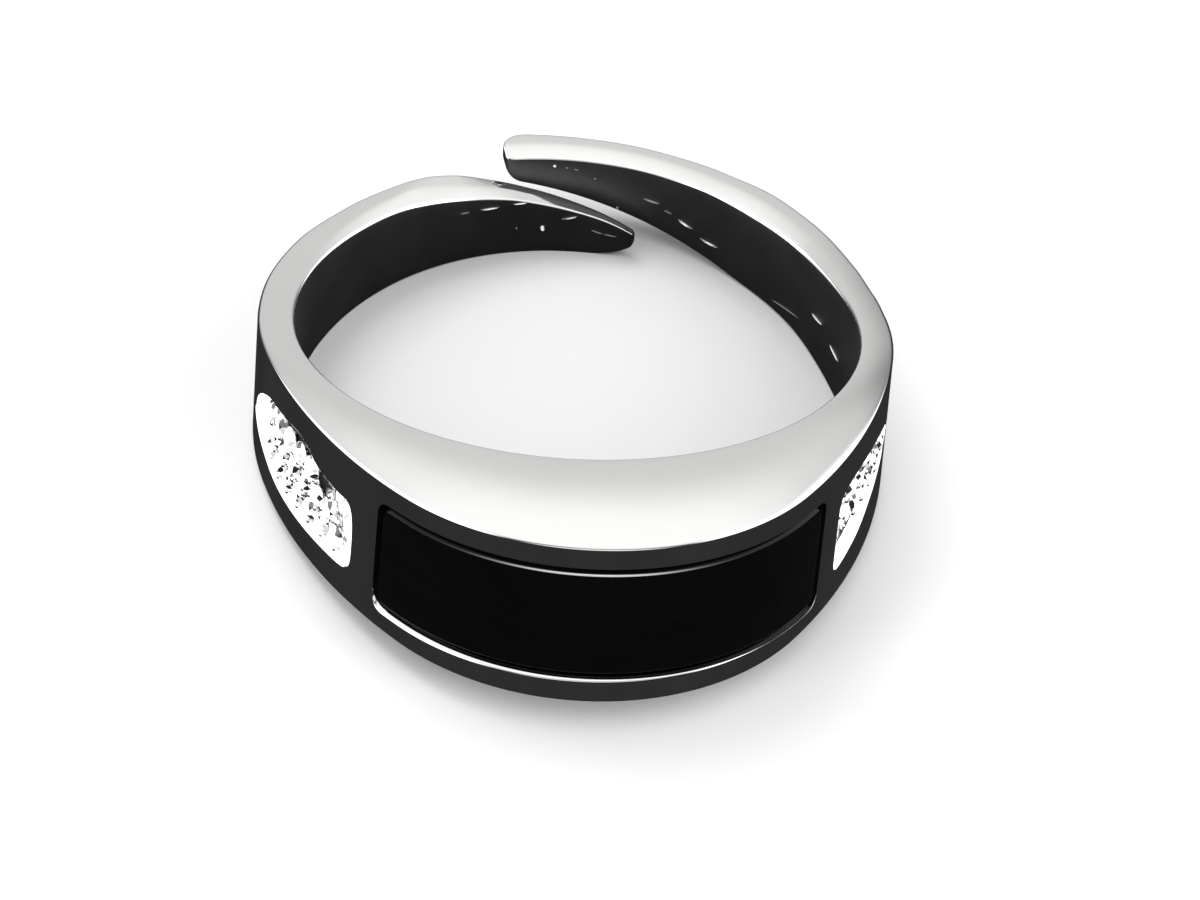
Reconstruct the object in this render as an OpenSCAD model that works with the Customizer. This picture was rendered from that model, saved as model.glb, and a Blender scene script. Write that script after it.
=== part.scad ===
// Open silver ring with a curved onyx tablet and two shoulder panels of small cut stones.
// It lies on its side: the lower side face is on z = 0 and the tablet looks towards -y.
// In the ring frame the hole's axis is z, and angles run from the tablet, at -y, towards +x.

/* [Ring] */
// Radius of the finger hole
hole_r = 9; // [8.9:0.05:9.2]
// Thickness of the head, from the hole to the middle of the tablet
head_t = 3.98; // [3.8:0.02:4.2]
// Radius of the wall round the tablet
head_arc_r = 8.06; // [7.9:0.02:8.3]
// Radius of the flatter flanks that carry the panels
flank_arc_r = 17.9; // [17:0.1:19]
// Thickness of the left side
left_t = 1.19; // [1.1:0.01:1.25]
// Thickness of the right side
right_t = 1.08; // [1:0.01:1.15]

/* [Side faces] */
// Height of the band at its two sides
side_h = 4.41; // [4.3:0.01:4.5]
// Angle of each side face to the ring's middle plane
wedge_tilt = 8; // [7.5:0.1:8.5]
// Slope of the side faces down to the head's outer edge
crown_tilt = 16.4; // [15:0.1:18]
// How far behind the hole's axis that slope is centred
crown_back = 1.58; // [1.5:0.02:1.7]
// Radius in which the upper side face levels out towards the back
level_r = 52; // [48:0.5:56]
// Where that levelling starts, along y
level_start_y = -0.93; // [-1.1:0.01:-0.8]

/* [Open back] */
// Angle that the right arm is sprung outwards
spring_angle = 7.7; // [7.4:0.1:8.2]
// Angle from the tablet to where it bends
spring_at = 111; // [108:1:114]
// Radius of the stretch that bends
spring_arc_r = 20; // [16:0.5:24]
// How much larger the radius of the right arm's outer wall is than the side's
right_arm_more_r = 0.15; // [0.1:0.01:0.3]
// Slope of the diagonal cut between the arms
cut_tilt = 13.6; // [12.5:0.1:14.5]
// Height of the left arm at the middle of the back
left_arm_h = 1.76; // [1.6:0.02:1.9]
// Height of the right arm's lower edge at the middle of the back
right_arm_lift = 1.5; // [1.35:0.01:1.6]
// Angle that the left arm runs past the middle of the back
left_end = 17.5; // [15:0.5:18]
// Angle that the right arm runs past the middle of the back
right_end = 3.1; // [2.5:0.1:3.5]
// Radius of the outer wall where the left arm narrows to its end
narrow_r = 8.7; // [8.5:0.05:8.9]
// Angle over which the left arm tapers to its tip
left_taper = 14; // [12:1:20]
// Thickness of the left arm's tip
left_tip_t = 0.3; // [0.25:0.05:0.4]

/* [Onyx tablet] */
// Width of the tablet's opening, seen from the front
onyx_w = 13.95; // [13.5:0.05:14.2]
// Height of the opening's upper edge over the middle plane, at the front
onyx_up = 2.1; // [2:0.02:2.2]
// Depth of the opening's lower edge under the middle plane
onyx_down = 2.13; // [2:0.01:2.2]
// Radius of the opening's upper edge
onyx_up_r = 140; // [120:5:200]
// Radius of the opening's corners
onyx_corner_r = 0.45; // [0.35:0.05:0.6]
// Depth of the opening
onyx_deep = 1.3; // [1.1:0.05:1.4]
// Angle in which the opening's end walls spread
onyx_spread = 50.5; // [50:0.5:52]

/* [Stone panels] */
// Depth of a panel's floor
panel_deep = 0.28; // [0.24:0.01:0.3]
// Width of a stone
stone_d = 0.72; // [0.66:0.01:0.74]
// Distance between the stones in a row
stone_step = 0.84; // [0.84:0.01:0.9]
// Distance between the rows
row_step = 0.75; // [0.75:0.01:0.8]

/* [Hidden] */
$fn = 180;
far = 20;
tall = 9;
fit = 0.03;
recess = 0.02;

// Round stretches of the plan, each [x, y, radius]. Those of the left half are mirrored, so that
// both halves run from the tablet towards +x.
head_disc = [0, -(hole_r + head_t - head_arc_r), head_arc_r];
right_side = [0, 0, hole_r + right_t];
left_side = [0, 0, hole_r + left_t];
right_flank = bridge_disc(head_disc, right_side, flank_arc_r);
left_flank = bridge_disc(head_disc, left_side, flank_arc_r);

// The right arm goes on round a centre of its own, past a stretch that bends less
spring_pivot = polar(hole_r + right_t / 2, spring_at);
sprung_centre = spring_pivot - turned(spring_pivot, -spring_angle);
sprung_hole = disc_at(sprung_centre, hole_r);
spring_outer = bridge_disc(right_side, disc_at(sprung_centre, right_side[2]), spring_arc_r);
spring_inner = disc_at(centre(spring_outer), spring_arc_r - right_t);
spring_a = angle_of(-centre(spring_outer));
arm_a = angle_of(sprung_centre - centre(spring_outer));
arm_disc = disc_at(
    sprung_centre - polar(right_arm_more_r, arm_a), right_side[2] + right_arm_more_r);
arm_end_a = 180 + right_end;

// The left arm narrows from this angle on
narrow_a = 150;
narrow_disc = disc_at(polar(left_side[2] - narrow_r, narrow_a), narrow_r);

// How far the outer wall of each arm stands out from round, as [angle, distance]
right_swell = [[96, 0], [114, 0.06], [131, 0.12], [139, 0.1], [153, 0]];
left_swell = [[96, 0], [112, 0.05], [123, 0.05], [136, -0.04], [150, -0.16], [190, -0.14]];

// The arms are cut behind arms_y, each over its own stretch of x
arms_y = 3;
left_cut_x = [-6.5, 5];
right_cut_x = [-2.2, 7];
arms_gap = 0.16;

// The crowned slope starts on a circle that just clears the hole in front
crown_flat = 0.1;
crown_r = hole_r + crown_back + crown_flat;
crown_in = 4;
crown_out = 9;

// Where the planes of the opening's end walls meet
onyx_apex = [0.05, head_disc.y + 1.5];

// A panel's outline as [distance along the wall from the panel's middle, height], from the
// upper front corner over the tip and back below. The left one is the fuller of the two.
left_panel = [
    [-3.64, 1.05], [-2.35, 1.1], [-1.5, 1.22], [-0.93, 1.46], [-0.37, 1.62], [0.37, 1.58],
    [1.45, 1.42], [2.53, 1.2], [3.35, 0.86], [3.95, 0.3], [4, -0.4], [3.5, -0.95],
    [2.53, -1.3], [1.1, -1.45], [-0.37, -1.6], [-1.87, -1.72], [-2.64, -1.68],
    [-3.39, -1.5], [-3.64, -1.2]];
right_panel = [
    [-3.62, 1.2], [-3.22, 1.42], [-2.05, 1.55], [-0.92, 1.62], [0, 1.66], [1.43, 1.5],
    [2.49, 1.2], [3.19, 0.86], [3.63, 0.4], [3.63, 0], [3.19, -0.3], [2.14, -0.65],
    [0.72, -0.9], [-0.73, -1.1], [-2.05, -1.3], [-2.82, -1.45], [-3.38, -1.5], [-3.62, -1.3]];
panel_mid = 62;

// Stones keep clear of the rim, and the panel's tip is left smooth
panel_margin = 0.06;
smooth_tip = 2.6;
grid = [-6:6];

// Where the grid of stones starts in each panel, in steps along the wall and across it
left_grid = [0.45, -0.12];
right_grid = [0.7, 0.22];

// Parts of a stone, measured from its widest plane
stone_r = stone_d / 2;
table_r = 0.58 * stone_r;
table_up = 0.15;
culet_down = 0.3;
stone_sides = 8;
seat_r = stone_r - 0.01;
seat_deep = culet_down + 2 * fit;

function polar(r, a) = [r * sin(a), -r * cos(a)];
function turned(p, a) = [p.x * cos(a) - p.y * sin(a), p.x * sin(a) + p.y * cos(a)];
function angle_of(way) = atan2(way.x, -way.y);
function centre(disc) = [disc.x, disc.y];
function disc_at(middle, r) = [middle.x, middle.y, r];

// Distance from a point inside a disc to its rim, in the direction of a unit vector
function rim_reach(disc, point, way) =
    let (
        off = point - centre(disc),
        along = off * way
    )
    sqrt(along * along - off * off + disc[2] * disc[2]) - along;

// The disc of radius r that holds two discs and touches both, bulging to the right of the way
// from a to b
function bridge_disc(a, b, r) =
    let (
        span = norm(centre(b) - centre(a)),
        along = (centre(b) - centre(a)) / span,
        across = [-along.y, along.x],
        reach_a = r - a[2],
        reach_b = r - b[2],
        foot = (reach_a * reach_a - reach_b * reach_b + span * span) / (2 * span),
        rise = sqrt(reach_a * reach_a - foot * foot)
    )
    disc_at(centre(a) + along * foot + across * rise, r);

// Angles at which a flank's arc starts at the head and ends at the side
function flank_from(flank) = angle_of(centre(head_disc) - centre(flank));
function flank_to(flank) = angle_of(-centre(flank));

// Direction in which a flank faces at the panel's middle
function flank_faces(flank) =
    let (way = polar(1, panel_mid))
    angle_of(rim_reach(flank, [0, 0], way) * way - centre(flank));

// Smallest distance of a point to the edges of an outline that runs clockwise
function inside_by(p, outline) =
    min([for (i = [0:len(outline) - 1])
        let (
            a = outline[i],
            b = outline[(i + 1) % len(outline)]
        )
        -cross(b - a, p - a) / norm(b - a)]);

// Places of a panel's stones, in rows that are staggered by half a step
function stone_places(outline, shift) =
    [for (row = grid, column = grid)
        let (p = [(column + row / 2 + shift.x) * stone_step, (row + shift.y) * row_step])
        if (p.x < smooth_tip && inside_by(p, outline) > stone_r + panel_margin) p];

// Points of an arc round a disc's centre, without the last one
function arc(disc, from, to, step = 3) =
    let (parts = ceil(abs(to - from) / step))
    [for (i = [0:parts - 1]) centre(disc) + polar(disc[2], from + (to - from) * i / parts)];

// Value of a table of [angle, value] at an angle, eased between its entries and 0 outside them
function table_at(table, a) =
    let (
        found = [for (i = [0:len(table) - 2])
            if (a >= table[i][0] && a < table[i + 1][0])
                let (x = (a - table[i][0]) / (table[i + 1][0] - table[i][0]))
                table[i][1] + (table[i + 1][1] - table[i][1]) * x * x * (3 - 2 * x)]
    )
    len(found) > 0 ? found[0] : 0;

// Points moved away from the ring's axis by a table of swells
function swelled(points, table) =
    [for (point = points)
        let (a = (angle_of(point) + 360) % 360)
        point + table_at(table, a) * polar(1, a)];

function shrunk(disc, inset) = [disc.x, disc.y, disc[2] - inset];

// Outer wall from the middle of the head to an angle on the side
function front_wall(flank, side, to, inset = 0) =
    concat(
        arc(shrunk(head_disc, inset), 0, flank_from(flank)),
        arc(shrunk(flank, inset), flank_from(flank), flank_to(flank), 1.5),
        arc(shrunk(side, inset), flank_to(flank), to));

function reversed(points) = [for (i = [len(points) - 1:-1:0]) points[i]];
function mirrored(points) = [for (point = points) [-point.x, point.y]];

// Outlines of the two arms from the middle of the head round to the inside of the hole
function right_outline() =
    let (
        way = polar(1, arm_end_a),
        inner_reach = rim_reach(sprung_hole, centre(arm_disc), way),
        end_mid = (arm_disc[2] + inner_reach) / 2,
        end_disc = disc_at(centre(arm_disc) + end_mid * way, arm_disc[2] - end_mid),
        inner_a = 360 + angle_of(centre(arm_disc) + inner_reach * way - sprung_centre)
    )
    concat(
        swelled(
            concat(
                front_wall(right_flank, right_side, spring_a),
                arc(spring_outer, spring_a, arm_a, 1.5),
                arc(arm_disc, arm_a, arm_end_a)),
            right_swell),
        arc(end_disc, arm_end_a, arm_end_a + 180, 15),
        arc(sprung_hole, inner_a, arm_a),
        arc(spring_inner, arm_a, spring_a + 3, 1.5),
        [polar(hole_r - 1, spring_a - 6)]);

function left_outline() =
    let (
        way = polar(1, 180 + left_end),
        taper_way = polar(1, 180 + left_end - left_taper),
        taper = rim_reach(narrow_disc, [0, 0], taper_way) * taper_way,
        taper_a = 360 + angle_of(taper - centre(narrow_disc))
    )
    concat(
        swelled(
            concat(
                front_wall(left_flank, left_side, narrow_a),
                arc(narrow_disc, narrow_a, taper_a),
                [taper]),
            left_swell),
        [(hole_r + left_tip_t) * way, (hole_r - 1) * way]);

// The hole is cut out as a true circle
module plan() {
    left = left_outline();
    difference() {
        polygon(concat(right_outline(), mirrored(reversed([for (i = [1:len(left) - 1]) left[i]]))));
        circle(r = hole_r);
    }
}

// The right arm's side of the gap between the arms
module right_arm_side() {
    stop_a = arm_end_a + 9;
    polygon(concat(
        arc(shrunk(sprung_hole, arms_gap / 2), arm_a, stop_a),
        [polar(2 * far, stop_a), [2 * far, 2 * far], polar(2 * far, arm_a)]));
}

// All that is inside the wall in front, smaller by an inset
module head_inside(inset) {
    right = front_wall(right_flank, right_side, 120, inset);
    left = front_wall(left_flank, left_side, 120, inset);
    polygon(concat(mirrored(reversed(left)), [for (i = [1:len(right) - 1]) right[i]]));
}

// Seen from the side, what is over the upper side face, which levels out behind level_start_y
module over_top() {
    slope = tan(wedge_tilt);
    start = [level_start_y, side_h / 2 - slope * level_start_y];
    hub = start + level_r * [sin(wedge_tilt), cos(wedge_tilt)];
    level = [for (i = [0:16]) hub - level_r * [sin(wedge_tilt - i), cos(wedge_tilt - i)]];
    polygon(concat(
        [[-far, side_h / 2 + slope * far]], level, [[level[16].x, far], [-far, far]]));
}

// Seen from the side, what is under the lower side face
module under_bottom() {
    slope = tan(wedge_tilt);
    polygon([
        [-far, -side_h / 2 - slope * far], [far, -side_h / 2 + slope * far],
        [far, -far], [-far, -far]]);
}

// A shape seen from the side, drawn out along x
module along_x() {
    translate([-far, 0, 0])
        rotate([90, 0, 90])
            linear_extrude(2 * far)
                children();
}

// What lies over the crowned slope of the upper side face
module crown_cut() {
    slope = tan(crown_tilt);
    translate([0, 0, side_h / 2])
        rotate([-wedge_tilt, 0, 0])
            translate([0, crown_back, 0])
                rotate([0, 0, 180])
                    rotate_extrude(angle = 180)
                        polygon([
                            [crown_r - crown_in, slope * crown_in],
                            [crown_r + crown_out, -slope * crown_out],
                            [crown_r + crown_out, slope * crown_in]]);
}

// From the ring frame to how the ring lies: the lower side face comes down to z = 0, and the
// hole's axis meets that plane at the origin
module lay() {
    translate(side_h / 2 * [0, sin(wedge_tilt), cos(wedge_tilt)])
        rotate([-wedge_tilt, 0, 0])
            children();
}

// A block with one face on the slope that crosses x = 0 at a height and falls towards +x
module slope_block(height, reach_x, end_z) {
    rise = tan(cut_tilt);
    translate([0, far, 0])
        rotate([90, 0, 0])
            linear_extrude(far - arms_y)
                polygon([
                    [reach_x[0], height - rise * reach_x[0]],
                    [reach_x[1], height - rise * reach_x[1]],
                    [reach_x[1], end_z], [reach_x[0], end_z]]);
}

// A plan's walls at more than their full height
module walls() {
    translate([0, 0, -tall])
        linear_extrude(2 * tall)
            children();
}

module right_arm_cut() {
    intersection() {
        slope_block(right_arm_lift, right_cut_x, -far);
        lay()
            walls()
                right_arm_side();
    }
}

module left_arm_cut() {
    difference() {
        slope_block(left_arm_h, left_cut_x, far);
        lay()
            walls()
                right_arm_side();
    }
}

// The opening seen from the front, as [x, z], smaller by a gap all round
module tablet_front(gap) {
    corner = onyx_corner_r;
    half_w = onyx_w / 2 - gap;
    bottom = gap - onyx_down;
    inner_w = half_w - corner;
    top_hub = [0, onyx_up - gap - onyx_up_r];
    top_a = asin(inner_w / onyx_up_r);
    top = top_hub.y + onyx_up_r * cos(top_a);
    right = concat(
        arc([inner_w, bottom + corner, corner], 0, 90, 15),
        arc([inner_w, top - corner, corner], 90, 180, 15),
        arc(concat(top_hub, onyx_up_r), 180 - top_a, 180, 0.5));
    polygon(concat(right, [top_hub + [0, onyx_up_r]], mirrored(reversed(right))));
}

// The tablet or the opening that it lies in, smaller by a gap all round
module tablet_blank(gap, inset) {
    intersection() {
        translate([0, 0, -tall])
            linear_extrude(2 * tall)
                difference() {
                    intersection() {
                        head_inside(inset);
                        translate(onyx_apex - [0, gap / sin(onyx_spread)])
                            polygon([
                                [0, 0], polar(far, -onyx_spread), [0, -2 * far],
                                polar(far, onyx_spread)]);
                    }
                    translate(centre(head_disc))
                        circle(r = head_arc_r - onyx_deep + gap);
                }
        translate([onyx_apex.x, 0, 0])
            rotate([90, 0, 0])
                linear_extrude(far)
                    tablet_front(gap);
    }
}

// Places children on a flank: x runs along the wall from the panel's middle, y is up and z
// points outwards
module on_flank(flank, along = 0) {
    faces = flank_faces(flank) + along / flank[2] * 180 / PI;
    translate(centre(flank) + polar(flank[2], faces))
        rotate([90, 0, faces])
            children();
}

// A panel's recess and the seats of its stones
module panel_cut(flank, side, outline, shift) {
    difference() {
        on_flank(flank)
            translate([0, 0, -2])
                linear_extrude(3)
                    polygon(outline);
        translate([0, 0, -tall])
            linear_extrude(2 * tall)
                polygon(concat(front_wall(flank, side, 120, panel_deep), [[0, 0]]));
    }
    for (place = stone_places(outline, shift))
        on_flank(flank, place.x)
            translate([0, place.y, -panel_deep - seat_deep])
                cylinder(r = seat_r, h = seat_deep + panel_deep / 2, $fn = 24);
}

module stone() {
    rotate_extrude($fn = stone_sides)
        polygon([[0, -culet_down], [stone_r, 0], [table_r, table_up], [0, table_up]]);
}

module stones(flank, outline, shift) {
    for (place = stone_places(outline, shift))
        on_flank(flank, place.x)
            translate([0, place.y, fit - panel_deep])
                stone();
}

module band() {
    color("silver")
        difference() {
            lay()
                walls()
                    plan();
            right_arm_cut();
            left_arm_cut();
            lay() {
                along_x()
                    over_top();
                along_x()
                    under_bottom();
                crown_cut();
                mirror([0, 0, 1])
                    crown_cut();
                tablet_blank(0, -fit);
                panel_cut(right_flank, right_side, right_panel, right_grid);
                mirror([1, 0, 0])
                    panel_cut(left_flank, left_side, left_panel, left_grid);
            }
        }
}

module onyx() {
    color([0.02, 0.02, 0.02])
        lay()
            tablet_blank(fit, recess);
}

module pave_left() {
    color("white")
        lay()
            mirror([1, 0, 0])
                stones(left_flank, left_panel, left_grid);
}

module pave_right() {
    color("white")
        lay()
            stones(right_flank, right_panel, right_grid);
}

band();
onyx();
pave_left();
pave_right();
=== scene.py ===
"""Looks of the onyx ring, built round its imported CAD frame.

Lengths in this file are millimetres in the ring's own frame until laid() turns them into the
row's metres. In the ring's frame z is the finger hole's axis, the onyx faces -y, and angles run
from the onyx (0 degrees) towards +x, as in the part's source. Along the band, u is the length of
the inner wall from the middle of the head, in degrees of the hole's radius: negative on the left.
"""

import math

import bpy
import numpy as np
from mathutils import Matrix, Vector


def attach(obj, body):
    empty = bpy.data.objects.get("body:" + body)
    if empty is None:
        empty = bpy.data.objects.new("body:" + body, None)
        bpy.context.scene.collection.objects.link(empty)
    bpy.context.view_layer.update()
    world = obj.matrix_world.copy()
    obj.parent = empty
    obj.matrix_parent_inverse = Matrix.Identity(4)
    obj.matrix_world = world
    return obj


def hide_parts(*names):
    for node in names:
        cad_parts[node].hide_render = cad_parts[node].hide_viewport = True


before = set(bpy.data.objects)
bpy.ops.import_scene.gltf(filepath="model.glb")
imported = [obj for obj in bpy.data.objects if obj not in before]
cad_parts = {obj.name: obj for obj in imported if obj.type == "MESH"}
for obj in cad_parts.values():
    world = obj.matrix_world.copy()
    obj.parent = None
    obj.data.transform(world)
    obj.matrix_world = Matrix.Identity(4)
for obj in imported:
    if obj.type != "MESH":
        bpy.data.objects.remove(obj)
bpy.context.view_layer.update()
rng = np.random.default_rng(7)

# The ring's plan
HOLE_R = 9.0
HEAD_T = 3.98
HEAD_ARC_R = 8.06
FLANK_ARC_R = 17.9
LEFT_T = 1.19
RIGHT_T = 1.08
SPRING_ANGLE = 7.7
SPRING_AT = 111.0
SPRING_ARC_R = 20.0
RIGHT_ARM_MORE_R = 0.15
RIGHT_END_A = 187.1
LEFT_END_A = 197.5
LEFT_TIP_T = 0.3
LEFT_TAPER = 0.034
LEFT_TAPER_SOFT = 0.08
NARROW_A = 150.0
NARROW_R = 8.7
# How far the outer wall of each arm stands out from round, as (angle, distance)
RIGHT_SWELL = np.array([
    [96, 0], [104, 0.04], [114, 0.12], [131, 0.2], [139, 0.24], [149, 0.12], [160, 0.05],
    [174, 0.02], [189, 0.08]])
LEFT_SWELL = np.array([
    [96, 0], [112, 0.05], [123, 0.05], [136, -0.04], [150, -0.08], [172, -0.05], [190, -0.2]])

# Its side faces
HALF_H = 2.205
WEDGE_DEG = 8.0
LEVEL_R = 50.0
LEVEL_START_Y = -0.93
CROWN_DROP = 1.094
CROWN_FADE = 1.67
CROWN_POWER = 2.5
HEAD_SETTLE = 0.175
SETTLE_AT_WALLS = 0.3
SETTLE_BETWEEN = 3
BACK_CROWN = 0.05
BACK_CROWN_POWER = 2.2
LOWER_BACK_SHARE = 0.3
SHOULDER_CROWN = 0.07
SHOULDER_U = 95
SHOULDER_SPREAD = 30
ARMS_FROM_U = 100
LEFT_ARM_H = 1.76
RIGHT_ARM_LIFT = 1.5
ARM_SLOPE = 0.242
LEFT_CUT_FROM_X = -6.0
LEFT_CUT_RISE = 1.5
LEFT_CUT_SOFT = 0.12
RIGHT_CUT_SOFT = 0.1
LIP_POWER = 1.5
SHED_POWER = 1.2
OUTER_EDGE_R = 0.09
FULL_EDGE_T = 0.5
LEAST_T = 0.02
# The lip: the upper face's inner edge, as (u, width of its slope, its fall, radius)
LIPS = np.array([
    [-197.5, 0.3, 0, 0.04], [-172, 0.4, 0, 0.05], [-160, 0.6, 0.1, 0.08], [-150, 0.65, 0.15, 0.1],
    [-135, 0.5, 0.12, 0.1], [-115, 0.25, 0.05, 0.1], [-90, 0.12, 0.03, 0.08], [-60, 0.1, 0, 0.06],
    [70, 0.1, 0, 0.06], [95, 0.2, 0.03, 0.08], [112, 0.4, 0.07, 0.12], [125, 0.7, 0.14, 0.16],
    [140, 0.8, 0.16, 0.12], [152, 0.75, 0.1, 0.07], [187, 0.7, 0.11, 0.06]])
# The shed: the outer slope of the left arm's cut face, as (u, fall)
SHED = np.array([[-197.5, 0.02], [-192, 0.12], [-175, 0.16], [-168, 0.1], [-162, 0]])
# Radii of the tips' edges: towards the hole, outwards, on the upper face and on the lower face
LEFT_TIP_R = (0.1, 0.12, 0.12, 0.15)
RIGHT_TIP_R = (0.35, 0.75, 0.12, 0.6)
# The share of its radius by which each edge of the right tip falls back
RIGHT_TIP_SHARE = (0.55, 1.0, 1.0, 0.9)
# The left tip's long slopes on the upper and on the lower face, as (fall, length, power)
LEFT_TIP_SLOPES = ((0.14, 1.4, 2), (0.55, 1.9, 3))

# The onyx and its opening, whose long edges bow and lean from its middle to its ends
ONYX_U = (-37.2, 38.4)
ONYX_END_U = 38.0
ONYX_HALF_H = 2.1
ONYX_TOP_BOW = 0.17
ONYX_TOP_LEAN = 0.03
ONYX_LOW_BOW = 0.02
ONYX_LOW_LEAN = 0.06
ONYX_SLANT = 0.12
ONYX_CORNER_R = 0.5
ONYX_DEEP = 1.3
OPENING_FLOOR_GAP = 0.02
TABLET_GAP = 0.045
TABLET_RECESS = 0.02
TABLET_DEEP = 1.25
BEVEL_W = 0.2
BEVEL_DEEP = 0.27
# Where along the wall the painted highlight on the tablet's arris peaks, and its spread
ARRIS_HIGHLIGHT_S = -0.6
ARRIS_HIGHLIGHT_SPREAD = 2.2
# The chamfer below the onyx: its reach and depth, as (least, more at its widest end)
CHAMFER_REACH = (0.012, 0.1)
CHAMFER_DEEP = (0.022, 0.13)
CHAMFER_Z = 1.95
CHAMFER_POWER = 6
CHAMFER_TO = 0.84
CHAMFER_FADE = 0.12

# The panels and their stones, none of which sits further back than SMOOTH_TIP
PANEL_MID_U = 62.0
PANEL_DEEP = 0.3
PANEL_RIM = 0.04
PANEL_LOW_RIM = 0.22
STONE_R = 0.41
STONE_STEP = 0.84
ROW_STEP = 0.75
STONE_MARGIN = 0.36
STONE_SINK = 0.175
STONE_TURN = 0.06
# Shades painted on stone facets and their odds: painted reflections, white, grey or near black
FACET_PAINTED_SHADES = (1.0, 0.45, 0.0)
FACET_PAINTED_ODDS = (0.52, 0.25, 0.23)
SMOOTH_TIP = 2.6
TIP_FADE = 0.3
GRAIN_R = (0.085, 0.12)
GRAIN_SINK = 0.14
GRAIN_MARGIN = 0.12
# Their outlines before rounding, as (length from the middle towards the back, height)
LEFT_PANEL = np.array([
    [-3.58, 0.95], [-2.8, 0.98], [-2.1, 1.02], [-1.4, 1.14], [-1.0, 1.36], [-0.5, 1.54], [0.15, 1.55],
    [1.0, 1.36], [1.9, 1.22], [2.5, 1.12], [3.0, 0.9], [3.7, 0.5], [4.3, 0.02], [4.65, -0.35],
    [4.8, -0.75], [4.0, -1.05], [3.0, -1.28], [1.75, -1.56], [0.5, -1.64], [-0.8, -1.64],
    [-1.9, -1.62], [-3.0, -1.6], [-3.42, -1.52], [-3.6, -1.1]])
RIGHT_PANEL = np.array([
    [-3.46, 1.05], [-3.0, 1.28], [-2.4, 1.38], [-1.6, 1.38], [-0.8, 1.3], [0, 1.18], [0.7, 1.0],
    [1.35, 0.78], [2.2, 0.42], [2.9, 0.05], [3.35, -0.32], [3.3, -0.52], [2.7, -0.6], [1.9, -0.6],
    [0.9, -0.64], [0.3, -0.8], [-0.38, -0.95], [-1.08, -1.2], [-1.74, -1.38], [-2.62, -1.52],
    [-3.36, -1.64], [-3.56, -1.5], [-3.52, -0.6]])
# Shift of each panel's grid of stones, in steps along the wall and in rows
LEFT_GRID = (0.45, -0.12)
RIGHT_GRID = (0.7, 0.22)
# Where the grid has its corners on each outline, as (length from the panel's middle, height)
LEFT_CORNERS = np.array([[-4.3, 0.0], [3.5, 0.95], [3.45, -1.45], [-4.3, -0.95]])
RIGHT_CORNERS = np.array([[-3.42, 1.05], [3.1, -0.1], [3.15, -0.55], [-3.5, -1.5]])

# Rubs on the inner wall, as (u, z) of both ends and the width
MARKS = [
    (-171.5, 0.98, -174.5, 1.0, 0.04), (-182, 0.34, -185.5, 0.48, 0.05),
    (-159.9, 0.88, -162.1, 0.88, 0.03), (-164.4, 0.9, -168.8, 0.92, 0.05),
    (-188.4, -0.02, -191, -0.14, 0.035), (-191, -0.14, -194, -0.18, 0.03),
    (-177.6, 0.02, -178.7, 0.02, 0.13), (-172.4, 0.03, -172.8, 0.03, 0.05),
    (165.8, 0.82, 162, 0.76, 0.05), (157.7, 0.38, 154.1, 0.18, 0.06),
    (152.3, -0.06, 147.7, -0.16, 0.05), (116.9, -0.04, 112, -0.02, 0.045),
    (107.4, -0.32, 102.3, -0.46, 0.03), (161, 0.56, 159.1, 0.5, 0.03),
    (185.4, 1.66, 184.6, 1.66, 0.07), (182.6, 1.6, 182.1, 1.6, 0.04),
    (180.9, 1.56, 179.8, 1.53, 0.035), (176.6, 1.28, 176.0, 1.26, 0.045),
    (171.4, 0.28, 170.8, 0.24, 0.055), (131.7, -0.94, 122.3, -0.78, 0.022)]
MARK_SINK = 0.02
# How far a rub's edge hangs and how far it stands out, in widths
MARK_EDGE = (0.3, 1.3)

# The band's grid, with the u where the blocks of wall round the three openings begin and end
BLOCK_U = (-97.0, -40.3, 41.9, 90.0)
BLOCK_RINGS = 9
BLOCK_EASE = 1.3
WALL_ROWS = 26
GRID_STEP_U = 0.62
TIP_SPAN_U = 3.4

# Values of the silver's attribute, where 0 is polished. The others also paint light: the inner wall
# rougher and dark as shade, cut walls plain white as a highlight, cut floors white with dark
# cracks as highlight and shade, and the floor under the stones near black as shade
# The inner wall: rougher, and its metal painted dark as shade
SATIN_AND_PAINTED_SHADE = -1
CUT_WALL_PAINTED_HIGHLIGHT = 0.42
CUT_FLOOR_PAINTED_LIGHT = 0.5
FLOOR_PAINTED_SHADE = 1.0

# Colours, each as the two ends of a mix
SILVER_TINTS = ((0.90, 0.895, 0.885, 1), (0.95, 0.945, 0.935, 1))
# Metal of the inner wall, painted dark: painted shade in place of the dark room it mirrors
SATIN_PAINTED_SHADE_TINTS = ((0.11, 0.11, 0.11, 1), (0.17, 0.17, 0.175, 1))
# Panels' cut walls and floors, painted from near black as shade to white as a highlight
CUT_PAINTED_LIGHT_TINTS = ((0.008, 0.008, 0.008, 1), (0.95, 0.95, 0.95, 1))
ONYX_TINTS = ((0.0008, 0.0008, 0.0009, 1), (0.002, 0.002, 0.0022, 1))
# Stone facets, painted from near black to white as reflections
STONE_PAINTED_LIGHT_TINTS = ((0.015, 0.015, 0.017, 1), (1.0, 1.0, 1.0, 1))
FLOOR_TINTS = ((0.62, 0.62, 0.63, 1), (0.68, 0.68, 0.68, 1))
# A painted highlight on the tablet's arris
ARRIS_HIGHLIGHT_COLOUR = (0.9, 0.9, 0.9, 1)

# Soft lights, as (name, place, size, power), in metres and watts
LAMPS = [
    ("key", (-0.15, 0.25, 0.45), 0.3, 1.4),
    ("fill", (0.3, -0.25, 0.4), 0.3, 0.4),
    ("left", (-0.35, -0.2, 0.06), 0.12, 1.6),
    ("right", (0.35, -0.2, 0.06), 0.12, 1.6)]
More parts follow.
